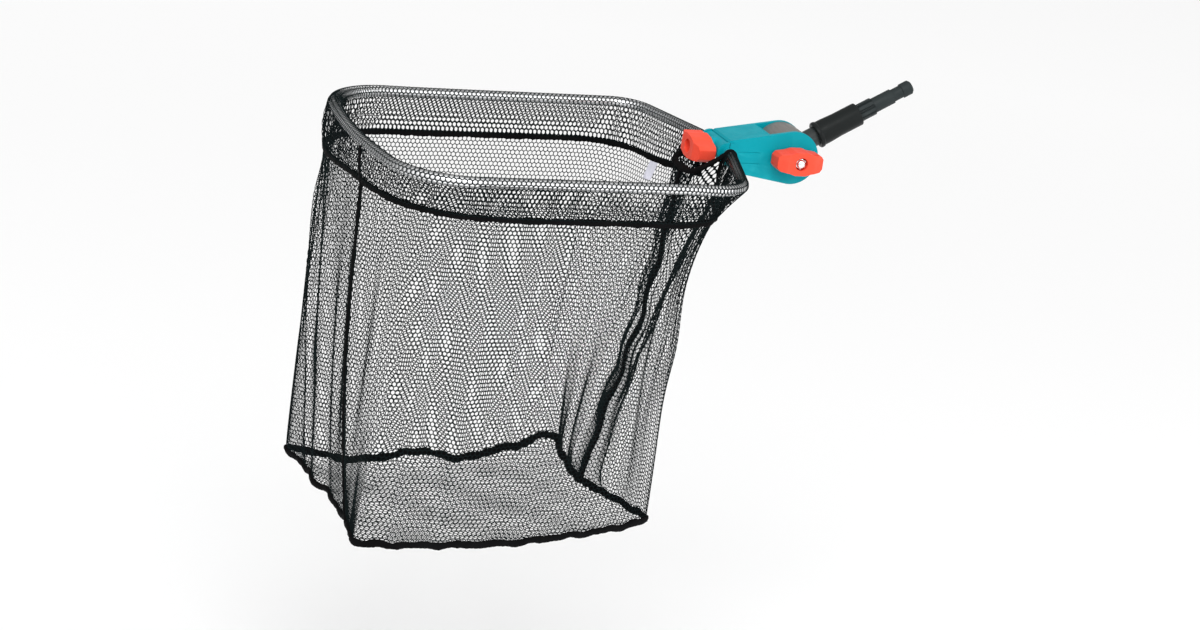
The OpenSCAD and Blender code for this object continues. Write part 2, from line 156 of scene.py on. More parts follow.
def half_outline():
    """Centre line of the tube for y > 0, from the clamp's middle to the far side's middle."""
    flat = half_w - far_corner_r
    far_r = (flat ** 2 + far_bow ** 2) / (2 * far_bow)
    far_cx = far_r - frame_len - far_bow
    reach = math.sqrt((far_r - far_corner_r) ** 2 - flat ** 2)
    bow_angle = math.degrees(math.atan2(flat, reach))
    nose_angle = math.degrees(math.atan2(nose_depth, half_w - nose_half))
    near_cut = near_corner_r * math.tan(math.radians((90 - nose_angle) / 2))
    clamp_y = nose_half - clamp_bend_r * math.tan(math.radians(nose_angle / 2))
    near_centre = (-nose_depth - near_cut, half_w - near_corner_r)
    return np.concatenate([
        [[0.0, 0.0]],
        arc((-clamp_bend_r, clamp_y), clamp_bend_r, 0, nose_angle),
        arc(near_centre, near_corner_r, nose_angle, 90),
        arc((far_cx - reach, flat), far_corner_r, 90, 180 - bow_angle),
        arc((far_cx, 0.0), far_r, 180 - bow_angle, 180),
    ])


back_half = resample(half_outline(), 1.0)
front_half = back_half * [1, -1]
rim_points = np.concatenate([front_half, back_half[::-1][1:]])
rim_along = distances(rim_points)
loop_len = rim_along[-1]
half_len = loop_len / 2
rim_tangent = unit_rows(np.gradient(rim_points, axis=0))


# A loop position c starts at the clamp's middle and runs along the front side, round the far
# side and back along the back side.

def rim(c):
    """Centre of the tube at loop position c and its outward normal, in the plane of the mouth."""
    c = np.clip(c, 0, loop_len)
    tangent = unit_rows(read_at(c, rim_along, rim_tangent))
    normal = np.stack([-tangent[..., 1], tangent[..., 0]], -1)
    return read_at(c, rim_along, rim_points), normal


def first_at(test):
    """Loop position of the first rim point that meets the test."""
    return rim_along[np.argmax(test)]


# Stations on the loop
near_front = first_at(rim_points[:, 1] < -half_w + near_corner_r * 0.3)
far_front = first_at((rim_points[:, 0] < -frame_len + far_corner_r * 0.36) & (rim_points[:, 1] < 0))
far_seam = half_len - 41
far_back = loop_len - far_front
near_back = loop_len - near_front


def eased(c, stations):
    """Smooth values between (position, value) stations in rising order."""
    places = np.array([s[0] for s in stations], float)
    values = np.array([s[1] for s in stations], float)
    k = np.clip(np.searchsorted(places, c, side="right") - 1, 0, len(places) - 2)
    share = smoothstep((c - places[k]) / (places[k + 1] - places[k]))
    return values[k] + (values[k + 1] - values[k]) * share


# ---------- hem and band seam ----------

def band(c):
    """Centre of the band seam, how far it stands out from the tube's centre, and its depth below."""
    point, normal = rim(c)
    drop = eased(c, [
        (0, 37), (near_front, 37), (half_len * 0.55, 36), (far_front, 35), (far_seam, 36),
        (far_back - 40, 45), (far_back + 60, 43), (near_back - 60, 41), (near_back, 45), (loop_len, 38),
    ])
    lean = eased(c, [
        (0, -1), (near_front * 0.55, -19), (near_front, -22), (near_front + 70, -2), (half_len * 0.6, 0),
        (far_front, -8), (far_seam, 1), (far_back - 50, 6), (far_back + 60, 2), (near_back - 30, -2),
        (near_back + 60, -9), (loop_len, -1),
    ])
    xy = point + normal * lean[..., None]
    return np.concatenate([xy, -drop[..., None]], -1), lean, drop


def window(c, middle, width):
    """A smooth bump of height 1 around a loop position."""
    away = np.abs(c - middle)
    return np.exp(-(np.minimum(away, loop_len - away) / width) ** 2)


def bunched(c):
    """How strongly the netting is bunched up: at the clamp, and round the far back corner."""
    at_corners = 0.95 * window(c, far_back - 18, 50) + 0.6 * window(c, near_front, 45)
    return np.clip(window(c, 0, 75) + at_corners, 0, 1)


def pleats(c, phase=0.0):
    """Close, uneven upright pleats of height 1 where the netting is bunched up."""
    return bunched(c) * np.sin(c * 0.47 + phase + 1.5 * np.sin(c * 0.11))


def density(c):
    """Netting used per millimetre of the loop."""
    return 1 + gather * bunched(c) + gap_gather * window(c, 0, 30)


def netting_lengths():
    """Lengths of netting used up to each loop position."""
    c = np.arange(0.0, loop_len + 1.0)
    return c, np.cumsum(density(c)) - density(c[:1])


loop_grid, netting_used = netting_lengths()


def loop_at(x):
    """Loop position of a length x of netting."""
    return np.interp(x, netting_used, loop_grid)


def netting_at(c):
    """Length of netting used up to a loop position."""
    return float(np.interp(c, loop_grid, netting_used))


def hem_surface(c, y):
    """A point of the doubled hem at loop position c, y along the netting: up from the band seam,
    round the tube and down again."""
    v = np.clip(y / hem_width, 0, 1)
    point, normal = rim(c)
    _, lean, drop = band(c)
    side = np.where(v < 0.5, 1.0, -1.0)
    radius = hem_r + 1.6 * window(c, far_back - 20, 70)
    # where each tail, the straight part between band seam and tube, meets the tube
    foot_r = lean + side * hem_gap / 2
    foot_z = -drop
    foot_angle = np.arctan2(foot_z, foot_r * side)
    touch = foot_angle + np.arccos(radius / np.hypot(foot_r, foot_z))
    touch_r = side * radius * np.cos(touch)
    touch_z = radius * np.sin(touch)
    # the tails are a little slack, and hollow near the near front corner
    w = np.where(v < 0.5, v, 1 - v) / tail_share
    tail_w = np.clip(w, 0, 1)
    hollow = 4 * window(c, near_front - 5, 60)
    slack = 1.0 + ripple(c, 34, 0.9) + ripple(c, 61, 0.8) + 2.4 * pleats(c, side) - hollow
    tail_r = foot_r + (touch_r - foot_r) * tail_w + side * np.sin(math.pi * tail_w) * slack
    tail_z = foot_z + (touch_z - foot_z) * tail_w
    # the rest lies round the tube
    turn = (v - tail_share) / (1 - 2 * tail_share)
    half_turn = math.pi / 2 - touch
    angle = math.pi / 2 - half_turn * (1 - 2 * turn)
    on_arc = w > 1
    r = np.where(on_arc, radius * np.cos(angle), tail_r)
    z = np.where(on_arc, radius * np.sin(angle), tail_z)
    xy = point + normal * r[..., None]
    return np.concatenate([xy, z[..., None]], -1)


def hem_place(x, y):
    """A point of the doubled hem, x along the netting."""
    return hem_surface(np.clip(loop_at(x), hem_start, loop_len - hem_start), y)


# ---------- bag ----------

# The bottom's corners, and the feet of the two upright seams
corner_near_front = np.array([-64.0, -106.0, bag_floor])
corner_far_front = np.array([-389.0, -157.0, bag_floor - 1])
corner_far_back = np.array([-393.0, 95.0, bag_floor - 1])
corner_near_back = np.array([-80.0, 130.0, bag_floor - 4])
foot_near = np.array([-100.0, 0.0, bag_floor])
foot_far = np.array([-380.0, -96.0, bag_floor - 1])
edge_steps = np.linspace(0, 1, 160)
corner_span = 23            # length of the loop over which the bottom seam's corners are rounded
loose_span = 161            # the same for netting that hangs loose above a corner


def edge(start, end, out, bow, waves=0.0):
    """One side of the bag's bottom, bowed outwards by bow and waved."""
    w = edge_steps[:, None]
    bulge = np.sin(math.pi * w) ** 0.7 * bow
    wave = np.sin(math.pi * w) * waves * (np.sin(w * 15.0) + 0.5 * np.sin(w * 27.0 + 1.0))
    return start + (end - start) * w + np.array(out) * (bulge + wave)


def back_sag():
    """The back side's two hollows, and the lift beside its near corner, as offsets of its points."""
    w = edge_steps
    hollow_spacing = 0.39
    ended = smoothstep((w - 0.72) / 0.09)
    hollows = -4.5 * (1 - np.cos((w - 0.025) * 2 * math.pi / hollow_spacing)) * (1 - ended)
    lift = 8 * np.exp(-((w - 0.94) / 0.06) ** 2)
    return np.outer(hollows + lift, (0, 0, 1))


def bottom_outline():
    """The bottom seam's centre line at evenly spread loop positions, with rounded corners."""
    to_clamp, to_far_side = (1, 0, 0), (-1, 0, 0)
    back_edge = edge(corner_far_back, corner_near_back, (0, 1, 0), -24, 5.0) + back_sag()
    spans = [
        (0, near_front, edge(foot_near, corner_near_front, to_clamp, 3, 1.5)),
        (near_front, far_front, edge(corner_near_front, corner_far_front, (0, -1, 0), 31, 1.0)),
        (far_front, far_seam, edge(corner_far_front, foot_far, to_far_side, 0)),
        (far_seam, far_back, edge(foot_far, corner_far_back, to_far_side, -3, 3.0)),
        (far_back, near_back, back_edge),
        (near_back, loop_len, edge(corner_near_back, foot_near, to_clamp, -4, 2.0)),
    ]
    grid = np.arange(0, loop_len, 1.0)
    points = np.zeros((len(grid), 3))
    for start, end, line in spans:
        inside = (grid >= start) & (grid < end)
        share = (grid[inside] - start) / (end - start) * (len(line) - 1)
        points[inside] = read_at(share, np.arange(len(line)), line)
    points[:, 2] += ripple(grid, 41, 2.0) + ripple(grid, 23, 1.2, 2.0)
    return grid, rounded(points, corner_span)


def rounded(points, span):
    """A closed row of points with its corners rounded over a span of that many points."""
    kernel = np.hanning(span)
    kernel /= kernel.sum()
    padded = np.concatenate([points[-span:], points, points[:span]])
    return np.stack([np.convolve(padded[:, k], kernel, "same") for k in range(3)], 1)[span:-span]


foot_grid, foot_points = bottom_outline()
soft_foot_points = rounded(foot_points, loose_span)


def foot(c, outline=foot_points):
    """The bottom seam at loop position c."""
    grid = np.append(foot_grid, loop_len)
    return read_at(np.mod(c, loop_len), grid, np.concatenate([outline, outline[:1]]))


def binding_line(c):
    """Bound edge of the netting in the hem's gap, which hangs in a bay around the clamp knob."""
    side = np.where(c < half_len, -1.0, 1.0)
    away = np.clip(np.minimum(c, loop_len - c) / hem_start, 0, 1)
    x = -38 + 37 * away ** 4
    y = side * 33 * np.sin(away * math.pi / 2)
    z = -22 + 26 * away ** 4
    return np.stack([x, y, z], -1)


def wall_top(c):
    """Top edge of the bag's wall: along the band seam, and along the bound edge in the gap."""
    seam, _, _ = band(c)
    away = np.minimum(c, loop_len - c)
    share = smoothstep((away - hem_start + 4) / 14)[..., None]
    return binding_line(c) * (1 - share) + seam * share


def crease(x, width):
    """A soft-edged pinch of height 1 at x = 0."""
    return np.exp(-np.sqrt(x * x + (0.35 * width) ** 2) / width + 0.35)


def folds(c, t):
    """How far the wall bulges outwards at share t of the way down: pinched folds and slow
    waviness, none at the seams."""
    hang = np.sin(math.pi * np.clip(t, 0, 1)) ** 0.6
    low = np.clip(t, 0, 1) ** 1.3 * (1 - smoothstep((t - 0.93) / 0.07))
    wave = ripple(c + 25 * t, 97, 3.0, 0.4) + ripple(c - 40 * t, 57, 1.6, 2.0)
    # back wall: one long upright crease
    back = -12 * crease(c - (near_back - 36), 6) * smoothstep((t - 0.12) / 0.2)
    # far wall: a slanting pull from the back corner, which stands out
    pull = 8 * crease(c - (far_back - 30 - 34 * t), 8) * smoothstep((t - 0.02) / 0.15)
    far_corner = 5 * window(c, far_back, 45)
    # near front corner: one dent's swelling, and pleats that open out on the way down
    near_corner = 6 * window(c, near_front, 50) * np.exp(-((t - 0.42) / 0.14) ** 2)
    gathers = 2.2 * pleats(c) * (1 - smoothstep((t - 0.2) / 0.5))
    # near wall: a sharp fold in front of the upright seam and a soft one behind it
    behind = loop_len - c
    front_fold = -4 * crease(c - (34 + 14 * t), 6) + 1.5 * crease(c - 18, 12)
    back_fold = -5 * crease(behind - (66 - 26 * t), 12) + 2 * crease(behind - (34 - 12 * t), 12)
    bulge = wave + back + pull + far_corner + near_corner + gathers
    return bulge * hang + (front_fold + back_fold) * low


def wall(c, t):
    """A point of the bag's wall at loop position c and share t of the way down."""
    c = np.mod(c, loop_len)
    top = wall_top(c)
    base = foot(c)
    # the near back corner hangs in a wide curve that only tightens at the bottom seam
    loose = (window(c, near_back, 110) * (1 - smoothstep((t - 0.55) / 0.45)))[..., None]
    base = base * (1 - loose) + foot(c, soft_foot_points) * loose
    # at the near corners the wall reaches out over the bottom's outline early on its way down
    power = 1.0 + 4.0 * window(c, near_front, 90) + 1.0 * window(c, near_back, 90)
    eased_t = 1 - (1 - np.clip(t, 0, 1)) ** power
    xy = top[..., :2] + (base[..., :2] - top[..., :2]) * eased_t[..., None]
    z = top[..., 2] + (base[..., 2] - top[..., 2]) * t
    # the two upright seams keep their own lines: the near one waves, the far one bows back
    near_wave = 11 + 2.5 * np.cos((t - 0.48) * 2 * math.pi / 0.185)
    near_shift = near_wave * np.sin(math.pi * np.clip(t, 0, 1)) * window(c, 0, 45)
    far_shift = 17 * np.sin(math.pi * np.clip(t, 0, 1) ** 1.4) * window(c, far_seam, 60)
    _, normal = rim(c)
    out = folds(c, t) + near_shift
    xy = xy + normal * out[..., None]
    xy[..., 1] += far_shift
    return np.concatenate([xy, z[..., None]], -1)


def wall_place(x, y):
    """A point of the wall, x along the netting and y down from the band seam."""
    return wall(loop_at(x), np.clip(y / wall_height, 0, 1))


def floor_depth(x, y):
    """Height of the bag's bottom panel, which sags between its seams."""
    outline = foot_points[::4]
    gap = np.hypot(x[..., None] - outline[:, 0], y[..., None] - outline[:, 1])
    weight = 1 / (gap ** 2 + 4.0)
    level = (weight * outline[:, 2]).sum(-1) / weight.sum(-1)
    away = gap.min(-1)
    sag = 8 * (1 - np.exp(-away / 16))
    buckle = 1.6 * np.sin(x * 0.045 + 0.8) * np.sin(y * 0.05 + x * 0.02) * (1 - np.exp(-away / 30))
    return level - sag + buckle


def floor_place(x, y):
    return np.stack([x, y, floor_depth(x, y)], -1)


# ---------- meshes ----------

def make_mesh(name, vertices, faces, material, body=NET_BODY):
    """A smooth-shaded piece from points in millimetres, riding on a body. Faces are an array of
    equal faces, or a list of unequal ones."""
    mesh = bpy.data.meshes.new(name)
    vertices = ((np.asarray(vertices) + CLAMP) * MM).astype(np.float32)
    mesh.vertices.add(len(vertices))
    mesh.vertices.foreach_set("co", vertices.ravel())
    if isinstance(faces, np.ndarray):
        sizes = np.full(len(faces), faces.shape[1])
        corners = faces.ravel()
    else:
        sizes = np.array([len(face) for face in faces])
        corners = np.concatenate(faces)
    mesh.loops.add(len(corners))
    mesh.loops.foreach_set("vertex_index", corners.astype(np.int32))
    mesh.polygons.add(len(sizes))
    starts = np.concatenate([[0], np.cumsum(sizes)[:-1]])
    mesh.polygons.foreach_set("loop_start", starts.astype(np.int32))
    mesh.update(calc_edges=True)
    mesh.validate()
    mesh.shade_smooth()
    mesh.materials.append(material)
    piece = bpy.data.objects.new(name, mesh)
    bpy.context.scene.collection.objects.link(piece)
    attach(piece, body)
    return piece


# Corners of a cell in units of half a pitch across and half a side down the rows
CORNERS = np.array([(0, 2), (1, 1), (1, -1), (0, -2), (-1, -1), (-1, 1)])


def wall_crowding(points):
    """How closely the threads are pushed together along the loop, at points of a wall's netting.
    The walls' gathers open out on the way down."""
    opened = 0.8 * smoothstep(points[:, 1] / wall_height / 0.35)
    return 1 + (density(loop_at(points[:, 0])) - 1) * (1 - opened)


def hem_crowding(points):
    """The same for the hem, whose netting is drawn together all round."""
    return hem_gather + density(loop_at(points[:, 0]))


def open_edges(edges, count):
    """Those of the cells' directed edges, between count points, that only one cell uses."""
    code = np.sort(edges, axis=1) @ np.array([count, 1])
    _, where, uses = np.unique(code, return_index=True, return_counts=True)
    return edges[where[uses == 1]]


def net_piece(name, columns, rows, place, keep=None, crowd=None):
    """Knitted netting: a sheet of six-sided holes with threads of a lens-shaped section between
    them, laid on a surface. The threads' middles are raised on both sides, and their edges are
    the rings around the holes. The result is one closed mesh."""
    i, j = np.meshgrid(np.arange(*columns), np.arange(*rows), indexing="ij")
    i, j = i.ravel(), j.ravel()
    centre = np.stack([2 * i + (j & 1), 3 * j], 1)
    unit = np.array([pitch / 2, pitch / math.sqrt(3) / 2])
    if keep is not None:
        centre = centre[keep(centre * unit)]
    corner = centre[:, None, :] + CORNERS[None]
    keys, index = np.unique(corner.reshape(-1, 2), axis=0, return_inverse=True)
    index = index.reshape(-1, 6)
    # where the netting is pushed together, its holes close up and the threads keep their width
    crowded = np.ones(len(centre)) if crowd is None else crowd(centre * unit)
    shrink = 1 - thread_w / pitch * np.stack([crowded, np.ones(len(centre))], 1)
    hole = (centre[:, None, :] + CORNERS[None] * shrink[:, None, :]).reshape(-1, 2)
    knots, normals = on_surface(keys * unit, place)
    ring, _ = on_surface(hole * unit, place, with_normals=False)
    count = len(keys)
    vertices = np.concatenate([knots + normals * thread_t / 2, knots - normals * thread_t / 2, ring])
    ring_index = 2 * count + np.arange(len(centre) * 6).reshape(-1, 6)
    nxt = np.roll(index, -1, axis=1)
    ring_nxt = np.roll(ring_index, -1, axis=1)
    top = np.stack([ring_index, ring_nxt, nxt, index], -1).reshape(-1, 4)
    low = np.stack([ring_index, index + count, nxt + count, ring_nxt], -1).reshape(-1, 4)
    a, b = open_edges(np.stack([index, nxt], -1).reshape(-1, 2), count).T
    sides = np.stack([a, b, b + count, a + count], -1)
    faces = np.concatenate([top, low, sides])
    return make_mesh(name, vertices, faces, net_black)


def on_surface(points, place, with_normals=True, h=0.4):
    """Points on a surface and the surface's unit normals there."""
    x, y = points[:, 0], points[:, 1]
    here = place(x, y)
    if not with_normals:
        return here, None
    across = place(x + h, y) - place(x - h, y)
    down = place(x, y + h) - place(x, y - h)
    normal = np.cross(across, down)
    size = np.linalg.norm(normal, axis=1)[:, None]
    return here, normal / np.maximum(size, 1e-9)


def tape_frame(line, facing, closed):
    """Evenly spaced places along a line, with a tape's centre, width and face directions there."""
    along = distances(line)
    even = np.linspace(0, along[-1], int(along[-1] / tape_step) + 1)
    if closed:
        even = even[:-1]
    centre = read_at(even, along, line)
    face = read_at(even, along, facing)
    if closed:
        tangent = np.roll(centre, -1, axis=0) - np.roll(centre, 1, axis=0)
    else:
        tangent = np.gradient(centre, axis=0)
    tangent = unit_rows(tangent)
    face = unit_rows(face - tangent * (face * tangent).sum(1)[:, None])
    return even, centre, np.cross(tangent, face), face


def handwork(count, closed, seed):
    """Slow random unevenness along a tape, in two columns: for its width and its thickness."""
    rng = np.random.default_rng(seed)
    knots = rng.normal(0, 1, (count // 3 + 3, 2))
    spots = np.linspace(0, len(knots) - 1, count)
    uneven = read_at(spots, np.arange(len(knots)), knots)
    if closed:
        # even where the ends meet
        place = np.arange(count)
        fade = np.minimum(place, count - 1 - place) / 12
        uneven *= np.clip(fade, 0, 1)[:, None]
    return uneven


def flattened(wave, power):
    """A sine or cosine with the flatter tops that make a round section squarer."""
    return np.sign(wave) * np.abs(wave) ** power


def tube_faces(rings, sides, closed):
    """Faces between rings of points, with a cap at each end unless the last ring meets the first."""
    here = np.arange(rings if closed else rings - 1)[:, None]
    after = (here + 1) % rings
    m = np.arange(sides)
    nxt = (m + 1) % sides
    corners = [here * sides + m, after * sides + m, after * sides + nxt, here * sides + nxt]
    faces = np.stack(corners, -1).reshape(-1, 4).tolist()
    if not closed:
        faces.append(list(range(sides)))
        faces.append(list(range((rings - 1) * sides, rings * sides))[::-1])
    return faces


def tape(name, line, facing, width, thickness, closed=False, seed=1):
    """A sewn tape: a flattened round section swept along a line, with the unevenness of stitches."""
    even, centre, across, face = tape_frame(line, facing, closed)
    uneven = tape_uneven * handwork(len(centre), closed, seed)
    stitch = stitch_depth * np.sin(even * 2 * math.pi / stitch_len)[:, None]
    half_width = width / 2 * (1 + uneven[:, :1] + stitch)
    half_thickness = thickness / 2 * (1 + uneven[:, 1:] - stitch)
    turn = np.arange(tape_sides) * 2 * math.pi / tape_sides
    sideways = half_width * flattened(np.cos(turn), 0.7)
    outwards = half_thickness * flattened(np.sin(turn), 0.8)
    ring = (
        centre[:, None, :]
        + across[:, None, :] * sideways[..., None]
        + face[:, None, :] * outwards[..., None]
    )
    faces = tube_faces(len(centre), tape_sides, closed)
    return make_mesh(name, ring.reshape(-1, 3), faces, tape_black)


# ---------- materials ----------

class Paint:
    """A material under construction: short calls that add and join shader nodes."""

    def __init__(self, name, colour, roughness, metallic=0.0):
        self.material = bpy.data.materials.new(name)
        self.material.use_nodes = True
        self.tree = self.material.node_tree
        self.shader = self.tree.nodes["Principled BSDF"]
        self.colour = colour
        self.set("Base Color", (*colour, 1))
        self.set("Roughness", roughness)
        self.set("Metallic", metallic)
        self.place = self.tree.nodes.new("ShaderNodeTexCoord").outputs["Object"]
        self.height = None

    def set(self, socket, value):
        self.shader.inputs[socket].default_value = value
        return self

    def node(self, kind, inputs=None, **settings):
        node = self.tree.nodes.new(kind)
        for key, value in settings.items():
            setattr(node, key, value)
        for key, value in (inputs or {}).items():
            if isinstance(value, bpy.types.NodeSocket):
                self.tree.links.new(value, node.inputs[key])
            else:
                node.inputs[key].default_value = value
        return node

    def noise(self, size, detail=3.0, roughness=0.5, stretch=None):
        """Noise whose blobs are about size millimetres across."""
        vector = self.place
        if stretch:
            mapping = self.node("ShaderNodeMapping", {"Vector": vector, "Scale": stretch})
            vector = mapping.outputs["Vector"]
        inputs = {"Vector": vector, "Scale": 1 / (size * MM), "Detail": detail, "Roughness": roughness}
        return self.node("ShaderNodeTexNoise", inputs).outputs["Fac"]

    def curve(self, value, low, high, out_low=0.0, out_high=1.0):
        """value mapped from low..high to out_low..out_high, and clipped."""
        inputs = {
            "Value": value, "From Min": low, "From Max": high, "To Min": out_low, "To Max": out_high,
        }
        return self.node("ShaderNodeMapRange", inputs).outputs["Result"]

    def vary_colour(self, fac, other):
        """Fades the colour to another one where fac is 1."""
        before = self.shader.inputs["Base Color"]
        source = before.links[0].from_socket if before.links else (*self.colour, 1)
        mix = self.node("ShaderNodeMix", data_type="RGBA")
        self.tree.links.new(fac, mix.inputs["Factor"])
        if isinstance(source, bpy.types.NodeSocket):
            self.tree.links.new(source, mix.inputs["A"])
        else:
            mix.inputs[6].default_value = source        # the colour socket A
        mix.inputs[7].default_value = (*other, 1)       # the colour socket B
        self.tree.links.new(mix.outputs[2], before)     # the colour result
        return self

    def vary_roughness(self, fac, low, high):
        self.tree.links.new(self.curve(fac, 0.25, 0.75, low, high), self.shader.inputs["Roughness"])
        return self

    def bump(self, height, depth, strength=0.5):
        """Adds relief of about depth millimetres."""
        inputs = {"Height": height, "Distance": depth * MM, "Strength": strength}
        node = self.node("ShaderNodeBump", inputs)
        if self.height:
            self.tree.links.new(self.height, node.inputs["Normal"])
        self.height = node.outputs["Normal"]
        self.tree.links.new(self.height, self.shader.inputs["Normal"])
        return self


def moulded_plastic(name, colour, roughness, worn, grain=0.6):
    """Moulded plastic with fine spark-eroded grain, faint flow marks and worn, lighter edges."""
    paint = Paint(name, colour, roughness)
    paint.set("Specular IOR Level", 0.1)
    cloud = paint.noise(14, 4)
    speck = paint.noise(grain, 2)
    paint.vary_colour(paint.curve(cloud, 0.35, 0.75, 0, 0.12), [c * 0.85 for c in colour])
    edges = paint.node("ShaderNodeNewGeometry").outputs["Pointiness"]
    sharp = paint.curve(edges, 0.52, 0.62)
    patchy = paint.curve(cloud, 0.4, 0.7)
    wear = paint.node("ShaderNodeMath", {0: sharp, 1: patchy}, operation="MULTIPLY").outputs[0]
    paint.vary_colour(paint.curve(wear, 0, 1, 0, 0.4), worn)
    paint.vary_roughness(paint.noise(5, 4), roughness - 0.07, roughness + 0.09)
    paint.bump(speck, 0.05, 0.35)
    paint.bump(paint.noise(0.9, 2, stretch=(1, 0.08, 1)), 0.02, 0.2)
    return paint.material


def hinge_plastic():
    """Dark plastic, glossy; the drum by the fork is painted light grey as a painted highlight, and the
    neck keeps the plastic's own dark colour.
    """
    drum_r = 27.0
    pivot = JOINTS["handle_tilt"]["pos_m"]
    # painted highlight: this light grey base colour stands in for the light on the drum; the real
    # plastic is the neck's dark colour
    paint = Paint("hinge_plastic", (0.17, 0.162, 0.152), 0.34)
    paint.set("Specular IOR Level", 0.3)
    flat = paint.node("ShaderNodeMapping", {"Vector": paint.place, "Scale": (1, 0, 1)}).outputs["Vector"]
    gap = paint.node("ShaderNodeVectorMath", {0: flat, 1: (pivot[0], 0, pivot[2])}, operation="DISTANCE")
    neck = paint.curve(gap.outputs["Value"], drum_r * MM, (drum_r + 0.6) * MM)
    rings = paint.noise(1.2, 3, stretch=(1, 0.1, 1))
    paint.vary_colour(paint.curve(rings, 0.4, 0.75, 0, 0.35), (0.10, 0.095, 0.09))
    paint.vary_colour(neck, (0.022, 0.027, 0.027))
    paint.vary_roughness(rings, 0.28, 0.44)
    paint.bump(paint.noise(0.5, 2), 0.05, 0.35)
    return paint.material


def metal(name, colour, roughness, streak=(1, 1, 1), dirt=(0.35, 0.34, 0.33)):
    """Metal with fine drawing or turning marks and a few dull spots."""
    paint = Paint(name, colour, roughness, 1.0)
    lines = paint.noise(0.35, 3, stretch=streak)
    cloud = paint.noise(9, 4)
    paint.vary_colour(paint.curve(cloud, 0.55, 0.8, 0, 0.35), dirt)
    paint.vary_roughness(lines, roughness - 0.08, roughness + 0.12)
    paint.bump(lines, 0.02, 0.3)
    return paint.material


def thread_fabric(name, colour, fuzz, fibre, bump_depth, roughness=0.7):
    """Knitted or woven polyester: fine fibres, a soft sheen and a little dust."""
    paint = Paint(name, colour, roughness)
    paint.set("Sheen Weight", fuzz)
    paint.set("Specular IOR Level", 0.08)
    paint.set("Sheen Roughness", 0.4)
    paint.set("Sheen Tint", (0.75, 0.82, 0.9, 1))
    strands = paint.noise(fibre, 3, stretch=(1, 1, 2.5))
    dust = paint.curve(paint.noise(30, 3), 0.45, 0.8, 0, 0.5)
    paint.vary_colour(dust, [c * 2.2 + 0.002 for c in colour])
    paint.vary_roughness(strands, roughness - 0.12, roughness + 0.12)
    paint.bump(strands, bump_depth, 0.6)
    return paint.material


teal = moulded_plastic("teal_plastic", (0.0, 0.285, 0.345), 0.36, (0.02, 0.40, 0.46))
red = moulded_plastic("red_plastic", (0.86, 0.075, 0.040), 0.34, (0.95, 0.30, 0.22))
sleeve_black = moulded_plastic("sleeve_plastic", (0.010, 0.012, 0.012), 0.34, (0.05, 0.055, 0.055), 0.45)
plug_black = moulded_plastic("plug_plastic", (0.022, 0.028, 0.029), 0.42, (0.08, 0.09, 0.09), 0.5)
# hinge plastic with a painted highlight that makes the drum light grey
hinge_painted_highlight_plastic = hinge_plastic()
end_plug = moulded_plastic("end_plug_plastic", (0.02, 0.02, 0.022), 0.5, (0.08, 0.08, 0.08))
aluminium = metal("drawn_aluminium", (0.94, 0.95, 0.96), 0.3, (0.05, 1, 1), (0.62, 0.63, 0.66))
zinc = metal("zinc_steel", (0.72, 0.73, 0.74), 0.34)
chrome = metal("chromed_steel", (0.86, 0.87, 0.88), 0.16)
brass = metal("brass", (0.74, 0.55, 0.27), 0.3)
net_black = thread_fabric("net_polyester", (0.0030, 0.0065, 0.0070), 0.0, 0.25, 0.05, 0.85)
tape_black = thread_fabric("tape_polyester", (0.0022, 0.0022, 0.0025), 0.0, 0.5, 0.12, 0.9)
label_white = thread_fabric("label_satin", (0.62, 0.62, 0.70), 0.3, 0.3, 0.06, 0.5)


# ---------- pieces: hard parts ----------

FINISH = {
    "fork_bracket": (teal, 1.1), "clamp_jaw": (teal, 0.9), "clamp_knob": (red, 1.6),
    "pivot_knob": (red, 1.6), "clamp_washer": (zinc, 0.25), "pivot_washer": (zinc, 0.25),
    "clamp_knob_nut": (brass, 0.2), "pivot_knob_nut": (brass, 0.2), "clamp_bolt": (zinc, 0.3),
    "pivot_bolt": (zinc, 0.3), "pivot_cap_nut": (chrome, 0.35), "hinge_head": (hinge_painted_highlight_plastic, 0.8),
    "socket_sleeve": (sleeve_black, 0.5), "plug_core": (plug_black, 0.5),
    "frame_tube": (aluminium, 0.0), "tube_end_plugs": (end_plug, 0.3),
}


def finish_hard_part(name, material, edge_r):
    """Gives a CAD node its material, and rounds its sharp edges by edge_r millimetres."""
    part = NODES[name]
    if not part.material_slots:
        part.data.materials.append(material)
    for spot in part.material_slots:
        spot.material = material
    weld = part.modifiers.new("weld", "WELD")
    weld.merge_threshold = 0.01 * MM
    if not edge_r:
        return
    flat = part.modifiers.new("flat", "DECIMATE")
    flat.decimate_type = "DISSOLVE"
    flat.angle_limit = math.radians(1.5)
    bevel = part.modifiers.new("round", "BEVEL")
    bevel.width = edge_r * MM
    bevel.segments = 3
    bevel.limit_method = "ANGLE"
    bevel.angle_limit = math.radians(32)
    bevel.use_clamp_overlap = True
    bevel.harden_normals = False


for node_name, (finish, edge_r) in FINISH.items():
    finish_hard_part(node_name, finish, edge_r)


# ---------- pieces: netting ----------

def columns_between(start, end):
    """Lattice columns whose cells lie between two loop positions."""
    return round(netting_at(start) / pitch), round(netting_at(end) / pitch)


def rows_down(height):
    """Lattice rows that cover a height of netting."""
    return 0, round(height / row_pitch) + 1


def hem():
    columns = columns_between(hem_start + 1, loop_len - hem_start - 1)
    piece = net_piece("hem_netting", columns, rows_down(hem_width), hem_place, crowd=hem_crowding)
    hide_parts("hem_band")


def walls():
    """Front and back panels, each in two pieces that meet on the same threads."""
    front_middle = far_seam / 2
    back_middle = (far_seam + loop_len) / 2
    spans = [
        ("front_netting_near", 0, front_middle, "net_front_panel"),
        ("front_netting_far", front_middle, far_seam, "net_front_panel"),
        ("back_netting_far", far_seam, back_middle, "net_back_panel"),
        ("back_netting_near", back_middle, loop_len, "net_back_panel"),
    ]
    for name, start, end, node in spans:
        columns = columns_between(start, end)
        piece = net_piece(name, columns, rows_down(wall_height), wall_place, crowd=wall_crowding)
        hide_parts(node)


